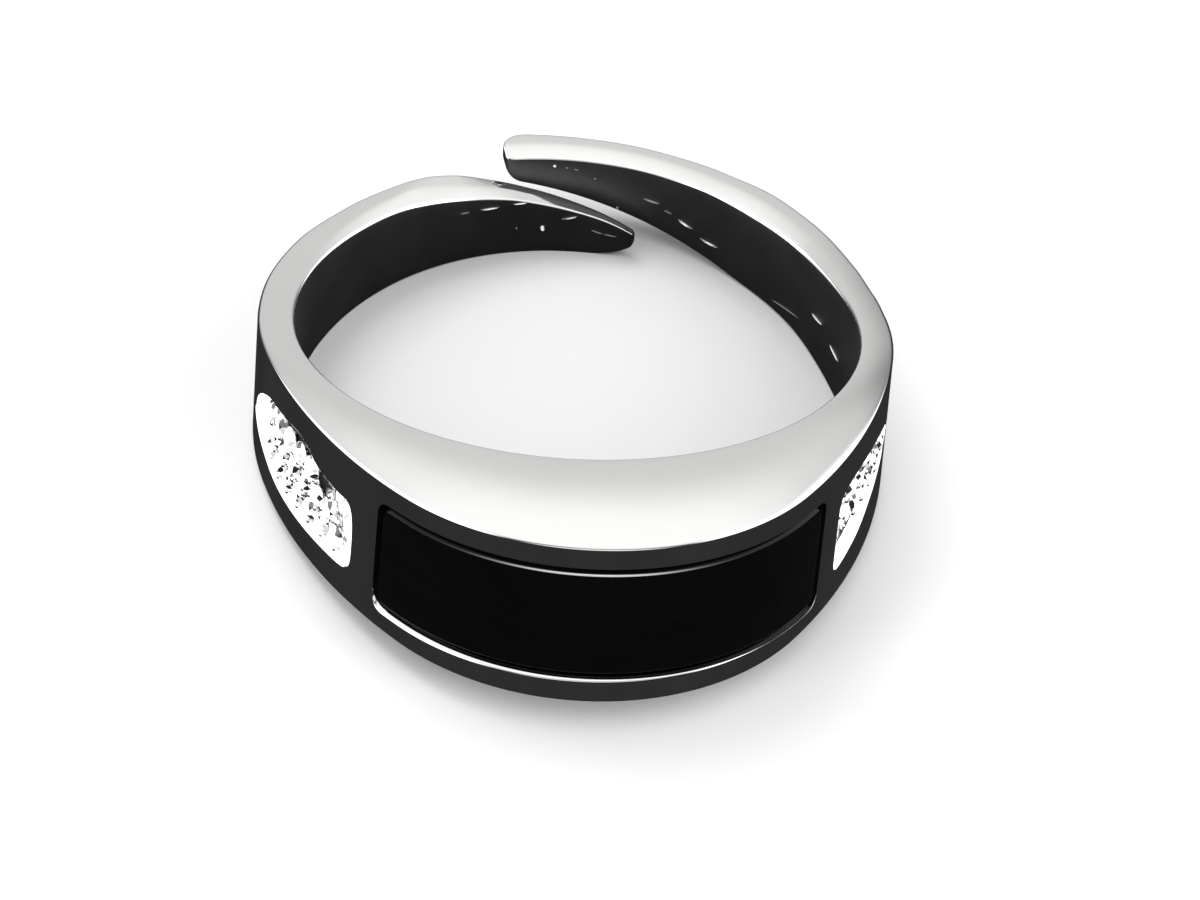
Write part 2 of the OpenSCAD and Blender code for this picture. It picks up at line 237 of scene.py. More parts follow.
# Strengths of the studio's light, which the silver mirrors
SKY = 0.57
SKY_RISE = 0.15
SKY_TOP = 0.34
SIDE_SHADE = 0.6
FLANKS = 1.6
STRIP = 0.9
BELOW = 0.018
BELOW_MOTTLE = 0.02


def polar(r, degrees):
    """Plan points at radius r: (r sin a, -r cos a)."""
    a = np.radians(degrees)
    return np.stack([r * np.sin(a), -r * np.cos(a)], -1)


def angle_of(way):
    """A way's plan angle in degrees, as polar() counts it."""
    return math.degrees(math.atan2(way[0], -way[1]))


class Disc:
    """A round stretch of the plan."""

    def __init__(self, centre, r):
        self.centre = np.asarray(centre, float)
        self.r = r

    def reach(self, point, ways):
        """How far it is from a point inside the disc to its rim: the root of |p + t w| = r."""
        off = np.asarray(point, float) - self.centre
        along = ways @ off
        return np.sqrt(along**2 - off @ off + self.r**2) - along


def bridge(a, b, r):
    """The disc of radius r that holds two discs and touches both."""
    span = np.linalg.norm(b.centre - a.centre)
    along = (b.centre - a.centre) / span
    across = np.array([-along[1], along[0]])
    reach_a = r - a.r
    reach_b = r - b.r
    foot = (reach_a**2 - reach_b**2 + span**2) / (2 * span)
    rise = math.sqrt(reach_a**2 - foot**2)
    return Disc(a.centre + along * foot + across * rise, r)


class Half:
    """The outer wall of one half, from the head's arc over the flank to the side."""

    def __init__(self, side_t):
        self.head = Disc([0, HEAD_ARC_R - HOLE_R - HEAD_T], HEAD_ARC_R)
        self.side = Disc([0, 0], HOLE_R + side_t)
        self.flank = bridge(self.head, self.side, FLANK_ARC_R)
        facing = angle_of(self.head.centre - self.flank.centre)
        self.head_to = angle_of(self.head.centre + polar(self.head.r, facing))
        self.flank_to = angle_of(-self.flank.centre)

    def thickness(self, angles):
        """Wall reach of whichever disc is due at that angle, less the hole's radius."""
        ways = polar(1.0, angles)
        out = self.side.reach([0, 0], ways)
        out = np.where(angles < self.flank_to, self.flank.reach([0, 0], ways), out)
        out = np.where(angles < self.head_to, self.head.reach([0, 0], ways), out)
        return out - HOLE_R


LEFT = Half(LEFT_T)
RIGHT = Half(RIGHT_T)
NARROW = Disc(polar(HOLE_R + LEFT_T - NARROW_R, NARROW_A), NARROW_R)


def turned(point, degrees):
    """A plan point turned about the hole's axis."""
    a = math.radians(degrees)
    x, y = point
    return np.array([x * math.cos(a) - y * math.sin(a), x * math.sin(a) + y * math.cos(a)])


PIVOT = polar(HOLE_R + RIGHT_T / 2, SPRING_AT)
SPRUNG_CENTRE = PIVOT - turned(PIVOT, -SPRING_ANGLE)
SPRING = bridge(RIGHT.side, Disc(SPRUNG_CENTRE, RIGHT.side.r), SPRING_ARC_R)
SPRING_A = angle_of(-SPRING.centre)
ARM_A = angle_of(SPRUNG_CENTRE - SPRING.centre)
SPRING_INNER_R = SPRING_ARC_R - RIGHT_T
ARM_U = SPRING_A + (ARM_A - SPRING_A) * SPRING_INNER_R / HOLE_R
ARM = Disc(SPRUNG_CENTRE - polar(RIGHT_ARM_MORE_R, ARM_A), RIGHT.side.r + RIGHT_ARM_MORE_R)
U_RIGHT_TIP = ARM_U + RIGHT_END_A - ARM_A
U_LEFT_TIP = -LEFT_END_A


def eased(table, a):
    """Value of a table of (angle, value) at an angle, by smooth steps between its entries."""
    k = np.clip(np.searchsorted(table[:, 0], a, side="right") - 1, 0, len(table) - 2)
    low, high = table[k], table[k + 1]
    x = np.clip((a - low[:, 0]) / (high[:, 0] - low[:, 0]), 0, 1)
    return low[:, 1] + (high[:, 1] - low[:, 1]) * x * x * (3 - 2 * x)


def soft_min(a, b, k):
    """The smaller of two values, rounded where they are within about k of each other."""
    h = np.clip(0.5 + 0.5 * (b - a) / k, 0, 1)
    return b * (1 - h) + a * h - k * h * (1 - h)


def soft_max(a, b, k):
    return -soft_min(-a, -b, k)


def stations(u):
    """Inner point, outward way and thickness at each u.

    Left of the head the inner wall is the hole's circle, mirrored; right of it the circle runs on
    to SPRING_A, then an arc about the spring's centre, then the circle about the sprung centre.
    """
    u = np.asarray(u, float)
    left = -u
    ways_left = polar(1.0, left) * [-1, 1]
    thick_left = np.where(
        left > NARROW_A, NARROW.reach([0, 0], polar(1.0, left)) - HOLE_R, LEFT.thickness(left))
    thick_left = thick_left + eased(LEFT_SWELL, left)
    taper = LEFT_TIP_T + LEFT_TAPER * (LEFT_END_A - left)
    thick_left = soft_min(thick_left, taper, LEFT_TAPER_SOFT)
    bend = SPRING_A + (u - SPRING_A) * HOLE_R / SPRING_INNER_R
    arm = ARM_A + (u - ARM_U)
    angle = np.where(u < SPRING_A, u, np.where(u < ARM_U, bend, arm))
    ways = polar(1.0, angle)
    in_bend = ((u >= SPRING_A) & (u < ARM_U))[:, None]
    in_arm = (u >= ARM_U)[:, None]
    inner = np.where(in_arm, SPRUNG_CENTRE + HOLE_R * ways, HOLE_R * ways)
    inner = np.where(in_bend, SPRING.centre + SPRING_INNER_R * ways, inner)
    thick = np.where(u < SPRING_A, RIGHT.thickness(u), RIGHT_T)
    thick = np.where(u >= ARM_U, ARM.reach(SPRUNG_CENTRE, ways) - HOLE_R, thick)
    outer = inner + thick[:, None] * ways
    outer_angle = np.degrees(np.arctan2(outer[:, 0], -outer[:, 1])) % 360
    thick = thick + eased(RIGHT_SWELL, outer_angle)
    is_left = u < 0
    inner = np.where(is_left[:, None], HOLE_R * ways_left, inner)
    ways = np.where(is_left[:, None], ways_left, ways)
    thick = np.where(is_left, thick_left, thick)
    return inner, ways, thick


def rounding(distance, radius):
    """How far a corner of that radius has fallen back at a distance from its end."""
    x = np.clip(1 - distance / radius, 0, 1)
    return radius * (1 - np.sqrt(1 - x * x))


TILT = math.radians(WEDGE_DEG)


def level_to_ring(world_z, y):
    """Height in the ring's frame, at y, of a point at world height world_z."""
    return (world_z - HALF_H * math.cos(TILT) + y * math.sin(TILT)) / math.cos(TILT)


def face_heights(u, across, inner, ways, thick):
    """Heights of the upper and lower side faces at a distance across the band from its inner wall.

    The upper face is the wedge's plane, then a hollow arc of radius LEVEL_R behind LEVEL_START_Y.
    Both faces fall by a crown that grows as a power of the way across, and fades as a power of
    cos u. Behind the head a slighter crown takes over, with a little more at the right shoulder.
    The head's upper face also sinks by a parabola, to stay within 3 percent of the solid's
    height. On the arms the upper face falls towards the hole by the lip, and the left arm's cut
    face falls outwards by the shed. The arms end on slanted planes, met with a small rounding.
    """
    xy = inner[:, None, :] + across[..., None] * ways[:, None, :]
    x = xy[..., 0]
    y = xy[..., 1]
    start_z = HALF_H - math.tan(TILT) * LEVEL_START_Y
    hub_y = LEVEL_START_Y + LEVEL_R * math.sin(TILT)
    hub_z = start_z + LEVEL_R * math.cos(TILT)
    arc = hub_z - np.sqrt(LEVEL_R**2 - (np.maximum(y, LEVEL_START_Y) - hub_y) ** 2)
    top = np.where(y < LEVEL_START_Y, HALF_H - math.tan(TILT) * y, arc)
    bottom = -HALF_H + math.tan(TILT) * y
    share = across / thick[:, None]
    front = np.clip(np.cos(np.radians(u)), 0, 1)[:, None] * (np.abs(u) < 90)[:, None]
    drop = CROWN_DROP * front**CROWN_FADE * share**CROWN_POWER
    shoulder = np.exp(-(((u - SHOULDER_U) / SHOULDER_SPREAD) ** 2))[:, None]
    rim = (BACK_CROWN + SHOULDER_CROWN * shoulder) * (1 - front) * share**BACK_CROWN_POWER
    lip_wide, lip_fall = (np.interp(u, LIPS[:, 0], LIPS[:, k])[:, None] for k in (1, 2))
    lip = lip_fall * np.clip(1 - across / lip_wide, 0, 1) ** LIP_POWER
    outer_half = np.clip(2 * share - 1, 0, 1)
    shed = np.interp(u, SHED[:, 0], SHED[:, 1])[:, None] * outer_half**SHED_POWER
    settle = HEAD_SETTLE * front**2 * (SETTLE_AT_WALLS + SETTLE_BETWEEN * share * (1 - share))
    top = top - drop - rim - lip - settle
    bottom = bottom + drop + LOWER_BACK_SHARE * rim
    before_cut = np.maximum(0, LEFT_CUT_FROM_X - x)
    left_cut = level_to_ring(LEFT_ARM_H - ARM_SLOPE * x + LEFT_CUT_RISE * before_cut, y)
    right_cut = level_to_ring(RIGHT_ARM_LIFT - ARM_SLOPE * x, y)
    on_left = (u < -ARMS_FROM_U)[:, None]
    on_right = (u > ARMS_FROM_U)[:, None]
    top = np.where(on_left, soft_min(top, left_cut - lip, LEFT_CUT_SOFT) - shed, top)
    bottom = np.where(on_right, soft_max(bottom, right_cut, RIGHT_CUT_SOFT), bottom)
    return top, bottom


def spaced(breaks, step):
    """Values from the first break to the last, with every break among them."""
    parts = [np.linspace(a, b, max(2, round((b - a) / step) + 1))[:-1]
             for a, b in zip(breaks[:-1], breaks[1:])]
    return np.concatenate([*parts, [breaks[-1]]])


def station_values():
    """Every u of the band's grid: even in between, closer towards both tips."""
    near = 1 - np.cos(np.radians(np.linspace(0, 90, 12)))
    left_tip = U_LEFT_TIP + TIP_SPAN_U * near
    right_tip = U_RIGHT_TIP - TIP_SPAN_U * near[::-1]
    middle = spaced([left_tip[-1], *BLOCK_U, right_tip[0]], GRID_STEP_U)
    return np.concatenate([left_tip[:-1], middle, right_tip[1:]])


U = station_values()
BLOCK_I = [int(np.argmin(np.abs(U - value))) for value in BLOCK_U]


def outer_line():
    """Table of the outer wall: length, plan point and outward normal against u."""
    u = np.linspace(U_LEFT_TIP, U_RIGHT_TIP, 6001)
    inner, ways, thick = stations(u)
    points = inner + thick[:, None] * ways
    length = np.concatenate([[0], np.cumsum(np.linalg.norm(np.diff(points, axis=0), axis=1))])
    heading = np.gradient(points, axis=0)
    heading /= np.linalg.norm(heading, axis=1)[:, None]
    normal = np.stack([heading[:, 1], -heading[:, 0]], -1)
    length -= np.interp(0, u, length)
    return u, length, points, normal


LINE_U, LINE_S, LINE_P, LINE_N = outer_line()


def s_at(u):
    """Length along the outer wall at u."""
    return np.interp(u, LINE_U, LINE_S)


def wall_point(s, z, depth):
    """Point at length s and height z on the outer wall, sunk by depth along the wall's normal."""
    s, z, depth = np.broadcast_arrays(s, z, depth)
    place = np.stack([np.interp(s, LINE_S, LINE_P[:, k]) for k in (0, 1)], -1)
    normal = np.stack([np.interp(s, LINE_S, LINE_N[:, k]) for k in (0, 1)], -1)
    normal /= np.linalg.norm(normal, axis=-1)[..., None]
    xy = place - depth[..., None] * normal
    return np.concatenate([xy, z[..., None]], -1)


def laid(points):
    """World place in metres: turned about x by the wedge's angle and lifted onto the table."""
    points = np.asarray(points, float)
    x, y, z = points[..., 0], points[..., 1], points[..., 2]
    c, s = math.cos(TILT), math.sin(TILT)
    world = np.stack([x, y * c + z * s + HALF_H * s, -y * s + z * c + HALF_H * c], -1)
    return world * 0.001


def section_rows(u):
    """The band's section at each u, as (n, rows, 3) points, and the rows of its two walls.

    Round the section go the inner wall upwards, the upper face outwards, the outer wall downwards
    and the lower face inwards, each corner being a quarter circle sheared by the face it joins.
    """
    inner, ways, thick = stations(u)
    from_left = np.radians(u - U_LEFT_TIP) * HOLE_R
    from_right = np.radians(U_RIGHT_TIP - u) * HOLE_R
    low, outwards, above, below = (
        rounding(from_left, left_r) + part * rounding(from_right, right_r)
        for left_r, right_r, part in zip(LEFT_TIP_R, RIGHT_TIP_R, RIGHT_TIP_SHARE))
    upper_slope, lower_slope = (fall * np.clip(1 - from_left / length, 0, 1) ** power
                                for fall, length, power in LEFT_TIP_SLOPES)
    high = np.maximum(thick - outwards, low + LEAST_T)
    edge = np.minimum(1.0, (high - low) / FULL_EDGE_T)
    r_in = (np.interp(u, LIPS[:, 0], LIPS[:, 3]) * edge)[:, None]
    r_out = (OUTER_EDGE_R * edge)[:, None]
    psi = np.radians(np.linspace(0, 90, 6))[1:-1][None, :]
    face = np.linspace(0, 1, 15)[None, :]
    rise = np.linspace(0, 1, 8)[None, :]
    down = np.linspace(0, 1, WALL_ROWS + 1)[None, :]
    low, high = low[:, None], high[:, None]
    corner_in = low + r_in * (1 - np.cos(psi))
    corner_out = high - r_out * (1 - np.sin(psi))
    face_out = low + r_in + (high - low - r_in - r_out) * face
    groups = [low + 0 * rise, corner_in, face_out, corner_out, high + 0 * down,
              corner_out[:, ::-1], face_out[:, ::-1], corner_in[:, ::-1]]
    across = np.concatenate(groups, 1)
    top, bottom = face_heights(u, across, inner, ways, thick)
    top = top - (above + upper_slope)[:, None]
    bottom = bottom + (below + lower_slope)[:, None]
    ends = np.cumsum([values.shape[1] for values in groups])
    t, b = (np.split(heights, ends[:-1], axis=1) for heights in (top, bottom))
    fall_in = r_in * (1 - np.sin(psi))
    fall_out = r_out * (1 - np.cos(psi))
    z = np.concatenate([
        b[0] + r_in + (t[0] - b[0] - 2 * r_in) * rise, t[1] - fall_in, t[2], t[3] - fall_out,
        t[4] - r_out - (t[4] - b[4] - 2 * r_out) * down, b[5] + fall_out[:, ::-1], b[6],
        b[7] + fall_in[:, ::-1]], 1)
    xy = inner[:, None, :] + across[..., None] * ways[:, None, :]
    points = np.concatenate([xy, z[..., None]], -1)
    return points, slice(ends[3], ends[4]), slice(0, ends[0])


def rounded_outline(points, times=3):
    """Corner cutting: each round replaces a corner by points at 1/4 and 3/4 of its edges."""
    for _ in range(times):
        ahead = np.roll(points, -1, 0)
        points = np.stack([0.75 * points + 0.25 * ahead, 0.25 * points + 0.75 * ahead], 1)
        points = points.reshape(-1, 2)
    return points


def sampled(outline, corners, counts):
    """A closed outline as four sides of counts[k] steps, starting at the points nearest corners."""
    ahead = np.roll(outline, -1, 0)
    area = np.sum(outline[:, 0] * ahead[:, 1] - outline[:, 1] * ahead[:, 0])
    if area > 0:
        outline = outline[::-1]
    fine = np.linspace(0, 1, 12, endpoint=False)[None, :, None]
    ahead = np.roll(outline, -1, 0)
    dense = (outline[:, None] * (1 - fine) + ahead[:, None] * fine).reshape(-1, 2)
    at = [int(np.argmin(np.linalg.norm(dense - corner, axis=1))) for corner in corners]
    sides = []
    for k, count in enumerate(counts):
        first, last = at[k], at[(k + 1) % 4]
        if last <= first:
            last += len(dense)
        piece = dense[np.arange(first, last + 1) % len(dense)]
        run = np.concatenate([[0], np.cumsum(np.linalg.norm(np.diff(piece, axis=0), axis=1))])
        want = np.linspace(0, run[-1], count + 1)[:-1]
        sides.append(np.stack([np.interp(want, run, piece[:, j]) for j in (0, 1)], -1))
    return np.concatenate(sides)


def inset(ring, distance):
    """A clockwise ring moved inwards by a distance along its own normals."""
    heading = np.roll(ring, -1, 0) - np.roll(ring, 1, 0)
    heading /= np.maximum(np.linalg.norm(heading, axis=1), 1e-9)[:, None]
    return ring + distance * np.stack([heading[:, 1], -heading[:, 0]], -1)


def evened(ring, times):
    """A ring with each point moved to the mean of itself and its neighbours."""
    for _ in range(times):
        ring = 0.5 * ring + 0.25 * (np.roll(ring, 1, 0) + np.roll(ring, -1, 0))
    return ring


def onyx_outline():
    """The opening for the onyx on the wall, clockwise from its upper left corner."""
    r = ONYX_CORNER_R
    s0, s1 = s_at(ONYX_U[0]), s_at(ONYX_U[1])
    s = np.linspace(s0 + r, s1 - r, 60)
    mid = (s - s_at(0.0)) / s_at(ONYX_END_U)
    top = ONYX_HALF_H - ONYX_TOP_BOW * mid**2 - ONYX_TOP_LEAN * mid
    bottom = -ONYX_HALF_H + ONYX_LOW_BOW * mid**2 - ONYX_LOW_LEAN * mid
    quarter = np.radians(np.linspace(0, 90, 8))
    corner = np.stack([np.sin(quarter), np.cos(quarter)], -1) * r
    top_right = np.array([s[-1], top[-1] - r]) + corner
    low_right = np.array([s[-1] - ONYX_SLANT, bottom[-1] + r]) + corner[::-1] * [1, -1]
    low_left = np.array([s[0] - ONYX_SLANT / 2, bottom[0] + r]) + corner * [-1, -1]
    top_left = np.array([s[0], top[0] - r]) + corner[::-1] * [-1, 1]
    return np.concatenate([
        np.stack([s, top], -1), top_right, low_right,
        np.stack([s - ONYX_SLANT, bottom], -1)[::-1], low_left, top_left])


def panel_outline(points, side):
    """A panel's outline in the wall's own length and height; side is -1 left and 1 right."""
    middle = s_at(side * PANEL_MID_U)
    return rounded_outline(points * [side, 1]) + [middle, 0]


def put(name, data):
    """A new object of the scene."""
    made = bpy.data.objects.new(name, data)
    bpy.context.scene.collection.objects.link(made)
    return made


class Mesh:
    """Vertices and faces gathered from grids, with a shade at each vertex for the material."""

    def __init__(self):
        self.points = []
        self.faces = []
        self.shade = []
        self.size = 0

    def add(self, points, shade=0.0):
        """Adds points in any array shape and returns their indices in the same shape."""
        points = np.asarray(points, float)
        flat = points.reshape(-1, 3)
        index = np.arange(self.size, self.size + len(flat)).reshape(points.shape[:-1])
        self.points.append(flat)
        self.shade.append(np.broadcast_to(shade, points.shape[:-1]).reshape(-1))
        self.size += len(flat)
        return index

    def quads(self, a, b, c, d):
        """Four-sided faces from four arrays of indices."""
        self.faces.append(np.stack([a, b, c, d], -1).reshape(-1, 4))

    def grid(self, index, closed=False):
        """Quads over a grid of indices; closed joins the last column to the first."""
        ahead = np.roll(index, -1, 1) if closed else index[:, 1:]
        here = index if closed else index[:, :-1]
        self.quads(here[:-1], here[1:], ahead[1:], ahead[:-1])

    def fan(self, ring, centre):
        """Triangles from a closed ring of indices to one point."""
        ahead = np.roll(ring, -1)
        middle = np.full_like(ring, centre)
        self.faces.append(np.stack([ring, middle, ahead], -1))

    def build(self, name, smooth=True):
        """The object; its shades become the attribute "finish"."""
        points = laid(np.concatenate(self.points))
        faces = [face for group in self.faces for face in group.tolist()]
        mesh = bpy.data.meshes.new(name)
        mesh.from_pydata(points.tolist(), [], faces)
        shade = mesh.attributes.new("finish_and_painted_light", "FLOAT", "POINT")
        shade.data.foreach_set("value", np.concatenate(self.shade).astype(np.float32))
        mesh.polygons.foreach_set("use_smooth", [smooth] * len(mesh.polygons))
        mesh.validate()
        mesh.update()
        return put(name, mesh)


def rings_of(outline_ring, steps):
    """Rings in (s, z, depth) from a ring: each step is (inset, depth, smoothing rounds)."""
    out = []
    for distance, depth, even in steps:
        ring = evened(inset(outline_ring, distance), even)
        out.append(np.concatenate([ring, np.zeros((len(ring), 1)) + depth], 1))
    return out


def shrinking(ring, depth, shares):
    """Rings between a ring and its middle, as shares of the way in."""
    middle = ring.mean(0)
    return [np.concatenate([ring * (1 - k) + middle * k, np.full((len(ring), 1), depth)], 1)
            for k in shares]


def opening(mesh, outer_index, outer_sz, outline, corners, counts, steps_of, floor_depth, dark):
    """A block of wall round an opening, and the opening itself down to its floor.

    Rings go from the block's border to the outline by shares of the way, then follow steps. With
    dark at 1 its walls are painted white as a highlight and its floor black as shade, turning
    towards the tips to white with dark cracks as highlight and shade.
    """
    ring = sampled(outline, corners, counts)
    steps = steps_of(ring)
    first = rings_of(ring, steps[:1])[0]
    shares = [1 - (1 - k / BLOCK_RINGS) ** BLOCK_EASE for k in range(1, BLOCK_RINGS)]
    rings = [np.concatenate([outer_sz * (1 - k) + first[:, :2] * k,
                             np.zeros((len(first), 1))], 1) for k in shares]
    rings += [first, *rings_of(ring, steps[1:])]
    floor = evened(inset(ring, steps[-1][0] + 0.04), 4)
    walls = len(rings)
    rings += shrinking(floor, floor_depth, [0.0, 0.08, 0.15, 0.35, 0.55, 0.75, 0.9])
    rings = np.stack(rings)
    points = wall_point(rings[..., 0], rings[..., 1], rings[..., 2])
    # Painted light: the walls are painted white as a highlight, and the floor's painted black shade
    # fades towards the tips to painted white with dark cracks
    from_middle = np.abs(rings[..., 0] - outline[:, 0].mean())
    tip = np.clip((from_middle - SMOOTH_TIP + TIP_FADE) / TIP_FADE, 0, 1)
    floor_shade = FLOOR_PAINTED_SHADE - (FLOOR_PAINTED_SHADE - CUT_FLOOR_PAINTED_LIGHT) * tip
    number = np.arange(len(rings))[:, None]
    wall_shade = np.where(number > len(shares) + 2, CUT_WALL_PAINTED_HIGHLIGHT, 0)
    shade = np.where(number > walls + 1, floor_shade, wall_shade)
    index = mesh.add(points, dark * shade)
    mesh.quads(outer_index, index[0], np.roll(index[0], -1), np.roll(outer_index, -1))
    mesh.grid(index, closed=True)
    middle = floor.mean(0)
    # The floor's middle is painted black as shade too
    centre = mesh.add(wall_point(middle[0], middle[1], floor_depth)[None], dark)
    mesh.fan(index[-1], centre[0])
    return ring


def panel_steps(ring):
    """A steep rim above and a wide sloping one below, where the way inwards points up."""
    up = np.clip(evened(inset(ring, 1.0) - ring, 6)[:, 1:], 0, 1)
    wide = PANEL_RIM + PANEL_LOW_RIM * up
    return [(-0.05, 0.0, 0), (-0.02, 0.008, 0), (0.0, 0.03, 0), (0.1 * wide, 0.06, 0),
            (0.9 * wide, PANEL_DEEP - 0.03, 1), (wide + 0.02, PANEL_DEEP - 0.01, 2),
            (wide + 0.04, PANEL_DEEP, 3)]


def onyx_steps(ring):
    """A sharp rim with a chamfer along the lower edge, widest at the opening's left end."""
    s = ring[:, :1]
    along = (s - s.min()) / (s.max() - s.min())
    below = np.clip(-ring[:, 1:] / CHAMFER_Z, 0, 1) ** CHAMFER_POWER
    wide = np.clip(1.2 - 1.4 * along, 0.03, 1) * below
    fade = np.clip((CHAMFER_TO - along) / CHAMFER_FADE, 0.1, 1)
    reach = (CHAMFER_REACH[0] + CHAMFER_REACH[1] * wide) * fade
    deep = (CHAMFER_DEEP[0] + CHAMFER_DEEP[1] * wide) * fade
    return [(-reach - 0.05, 0.0, 0), (-reach - 0.02, 0.004, 0), (-0.85 * reach, 0.15 * deep, 0),
            (-0.15 * reach, 0.85 * deep, 0), (0.0, deep + 0.03, 0), (0.0, 0.45, 0),
            (0.0, ONYX_DEEP, 0)]


def band_surface():
    """The band: its section swept along u, with blocks of wall left out round the openings."""
    mesh = Mesh()
    points, wall, inner_wall = section_rows(U)
    shade = np.zeros(points.shape[1])
    # The inner wall is rougher and is painted dark as shade
    shade[inner_wall] = SATIN_AND_PAINTED_SHADE
    index = mesh.add(points, shade)
    rows = points.shape[1]
    keep = np.ones((len(U) - 1, rows), bool)
    keep[BLOCK_I[0]:BLOCK_I[3], wall.start:wall.stop - 1] = False
    ahead = np.roll(index, -1, 1)
    mesh.faces.append(np.stack([index[:-1], ahead[:-1], ahead[1:], index[1:]], -1)[keep])
    for end, order in ((0, 1), (-1, -1)):
        centre = mesh.add(points[end].mean(0)[None])
        mesh.fan(index[end][::order], centre[0])
    sz = np.stack([np.repeat(s_at(U)[:, None], rows, 1), points[..., 2]], -1)
    onyx = onyx_outline()
    (left, bottom), (right, top) = onyx.min(0), onyx.max(0)
    onyx_corners = [(left, top), (right, top), (right, bottom), (left, bottom)]
    left_corners = LEFT_CORNERS + [s_at(-PANEL_MID_U), 0]
    right_corners = RIGHT_CORNERS + [s_at(PANEL_MID_U), 0]
    # With 1.0 as its last value, a panel's walls and floor get painted light
    openings = [
        (panel_outline(LEFT_PANEL, -1), left_corners, panel_steps, PANEL_DEEP, 1.0),
        (onyx, onyx_corners, onyx_steps, ONYX_DEEP + OPENING_FLOOR_GAP, 0.0),
        (panel_outline(RIGHT_PANEL, 1), right_corners, panel_steps, PANEL_DEEP, 1.0)]
    rings = []
    for k, (outline, corners, steps_of, floor_depth, dark) in enumerate(openings):
        i0, i1 = BLOCK_I[k], BLOCK_I[k + 1]
        j0, j1 = wall.start, wall.stop - 1
        border = [(slice(i0, i1), j0), (i1, slice(j0, j1)), (slice(i1, i0, -1), j1),
                  (i0, slice(j1, j0, -1))]
        outer_index = np.concatenate([index[i, j] for i, j in border])
        outer_sz = np.concatenate([sz[i, j] for i, j in border])
        counts = [i1 - i0, j1 - j0, i1 - i0, j1 - j0]
        rings.append(opening(mesh, outer_index, outer_sz, outline, corners, counts, steps_of,
                             floor_depth, dark))
    return mesh.build("band_surface"), rings[1]


def tablet_surface(opening_ring):
    """The tablet: rings from the middle of its face over the bevel and side to its back.

    An attribute value above 0 paints a highlight: a bright line on the arris at the top of its bevel.
    """
    mesh = Mesh()
    ring = inset(opening_ring, TABLET_GAP)
    face_ring = evened(inset(ring, BEVEL_W + 0.03), 6)
    face = shrinking(face_ring, TABLET_RECESS, [0.97, 0.9, 0.8, 0.7, 0.6, 0.5, 0.4, 0.3, 0.2, 0.1,
                                               0.05, 0.02])
    top = TABLET_RECESS
    low = top + BEVEL_DEEP
    side = rings_of(ring, [
        (BEVEL_W + 0.03, top, 6), (BEVEL_W + 0.012, top + 0.004, 6), (BEVEL_W - 0.01, top + 0.018, 5),
        (BEVEL_W - 0.03, top + 0.045, 5), (0.03, low - 0.04, 1), (0.01, low - 0.012, 0),
        (0.0, low + 0.02, 0), (0.0, 0.6, 0), (0.0, 0.95, 0), (0.0, 1.2, 0), (0.03, 1.24, 0)])
    back = shrinking(inset(ring, 0.03), TABLET_DEEP, [0.05, 0.2, 0.5, 0.8])
    rings = np.stack([*face, *side, *back])
    arris = np.zeros(rings.shape[:2])
    # A painted highlight on the arris, brightest near the middle of its upper edge
    bright = np.exp(-((side[1][:, 0] - ARRIS_HIGHLIGHT_S) / ARRIS_HIGHLIGHT_SPREAD) ** 2) * (ring[:, 1] > 0)
    arris[len(face) + 1:len(face) + 3] = bright
    index = mesh.add(wall_point(rings[..., 0], rings[..., 1], rings[..., 2]), arris)
    mesh.grid(index[:, ::-1], closed=True)
    middle = face_ring.mean(0)
    front = mesh.add(wall_point(middle[0], middle[1], top)[None])
    mesh.fan(index[0], front[0])
    behind = mesh.add(wall_point(middle[0], middle[1], TABLET_DEEP)[None])
    mesh.fan(index[-1][::-1], behind[0])
    return mesh.build("onyx_tablet")


def ridge(mesh, base, toward, width):
    """A three-sided bar along base points: its upper side slopes from the wall to its edge."""
    up = np.array([0, 0, 1.0])
    width = width[:, None]
    half = 0.5 * width * up
    foot = MARK_SINK * toward
    edge = base - MARK_EDGE[0] * width * up + MARK_EDGE[1] * width * toward
    index = mesh.add(np.stack([base + half - foot, edge, base - half - foot], 1))
    mesh.grid(index[:, ::-1], closed=True)
    mesh.faces.append(index[0][::-1][None])
    mesh.faces.append(index[-1][None])


def wall_marks():
    """Bright rubs and specks on the inner wall, as small ridges that catch the light."""
    mesh = Mesh()
    for u0, z0, u1, z1, width in MARKS:
        t = np.linspace(0, 1, 7)
        u = u0 + (u1 - u0) * t
        inner, ways, _ = stations(u)
        base = np.concatenate([inner, (z0 + (z1 - z0) * t)[:, None]], 1)
        toward = np.concatenate([-ways, np.zeros((7, 1))], 1)
        ridge(mesh, base, toward, width * np.sqrt(np.clip(1 - (2 * t - 1) ** 2, 0.02, 1)))
    return mesh.build("wall_marks", smooth=False)


def inside_by(points, outline):
    """Smallest distance of each point to the lines of a clockwise outline's edges."""
    ahead = np.roll(outline, -1, 0)
    edge = ahead - outline
    off = points[:, None] - outline[None]
    cross = edge[None, :, 0] * off[..., 1] - edge[None, :, 1] * off[..., 0]
    return (-cross / np.linalg.norm(edge, axis=1)[None]).min(1)


def stone_places(outline, shift):
    """The staggered grid of stones that fits in an outline, as (along, height)."""
    row, column = np.meshgrid(np.arange(-6, 7), np.arange(-9, 10), indexing="ij")
    places = np.stack([(column + row / 2 + shift[0]) * STONE_STEP, (row + shift[1]) * ROW_STEP], -1)
    places = places.reshape(-1, 2)
    fits = (places[:, 0] < SMOOTH_TIP) & (inside_by(places, outline) > STONE_MARGIN)
    return places[fits]


